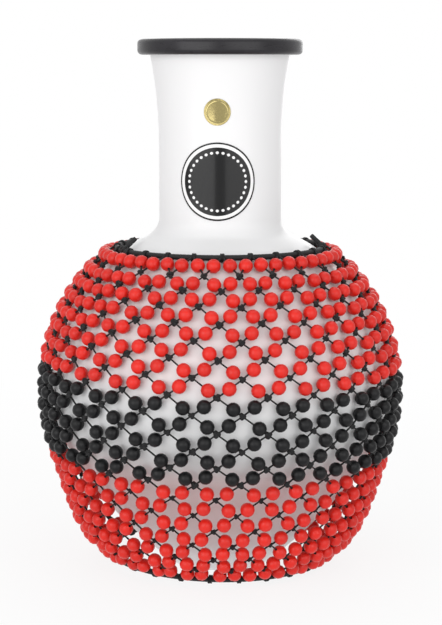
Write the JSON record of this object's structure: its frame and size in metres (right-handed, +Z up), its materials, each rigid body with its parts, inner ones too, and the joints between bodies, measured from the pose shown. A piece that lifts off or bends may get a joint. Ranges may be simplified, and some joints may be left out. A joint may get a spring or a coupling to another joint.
{
  "type": "shekere",
  "caption": "Shekere with a hollow white pear-shaped shell, a black rubber rim trim and a loose cord net of red and black beads that turns and lifts on the shell to rattle.",
  "frame": {"origin": "centre of the shell's flat base, on the surface that it stands on", "axes": "+Z up along the shell's axis to the mouth, front with the badge towards -Y, +X to the right"},
  "size_m": [0.2933, 0.2934, 0.417],
  "materials": {
    "shell_white": "polished gel coat",
    "rim_rubber": "satin rubber",
    "badge_black": "satin print",
    "foil_gold": "brushed foil",
    "rope_black": "braided",
    "cord_black": "twisted",
    "bead_red": "semi-matte moulded",
    "bead_black": "matte moulded"
  },
  "bodies": {
    "gourd": {"shell": "shell_white", "rim_trim": "rim_rubber", "badge_disc": "badge_black", "foil_seal": "foil_gold"},
    "collar": {"collar_rope": "rope_black", "collar_lashings": "cord_black", "collar_knot_left": "rope_black", "collar_knot_right": "rope_black"},
    "net": {"top_cords": "cord_black", "bead_row_01": "bead_red", "bead_row_02": "bead_red", "bead_row_03": "bead_red", "bead_row_04": "bead_red", "bead_row_05": "bead_red", "bead_row_06": "bead_red", "bead_row_07": "bead_red", "bead_row_08": "bead_red", "bead_row_09": "bead_black", "bead_row_10": "bead_black", "bead_row_11": "bead_black", "bead_row_12": "bead_black", "bead_row_13": "bead_black", "bead_row_14": "bead_red", "bead_row_15": "bead_red", "bead_row_16": "bead_red", "bead_row_17": "bead_red", "bead_row_18": "bead_red", "bead_row_19": "bead_red", "bead_row_20": "bead_red", "cord_row_01": "cord_black", "cord_row_02": "cord_black", "cord_row_03": "cord_black", "cord_row_04": "cord_black", "cord_row_05": "cord_black", "cord_row_06": "cord_black", "cord_row_07": "cord_black", "cord_row_08": "cord_black", "cord_row_09": "cord_black", "cord_row_10": "cord_black", "cord_row_11": "cord_black", "cord_row_12": "cord_black", "cord_row_13": "cord_black", "cord_row_14": "cord_black", "cord_row_15": "cord_black", "cord_row_16": "cord_black", "cord_row_17": "cord_black", "cord_row_18": "cord_black", "cord_row_19": "cord_black", "hem_rope": "rope_black", "hem_lashings": "cord_black", "hem_knot": "rope_black"}
  },
  "joints": [
    {"name": "net_turn", "type": "hinge", "parent": "gourd", "child": "collar", "pos_m": [0, 0, 0], "axis": [0, 0, 1], "continuous": true},
    {"name": "net_bounce", "type": "slide", "parent": "collar", "child": "net", "axis": [0, 0, 1], "range_m": [0, 0.004], "deforming": ["top_cords"]}
  ]
}
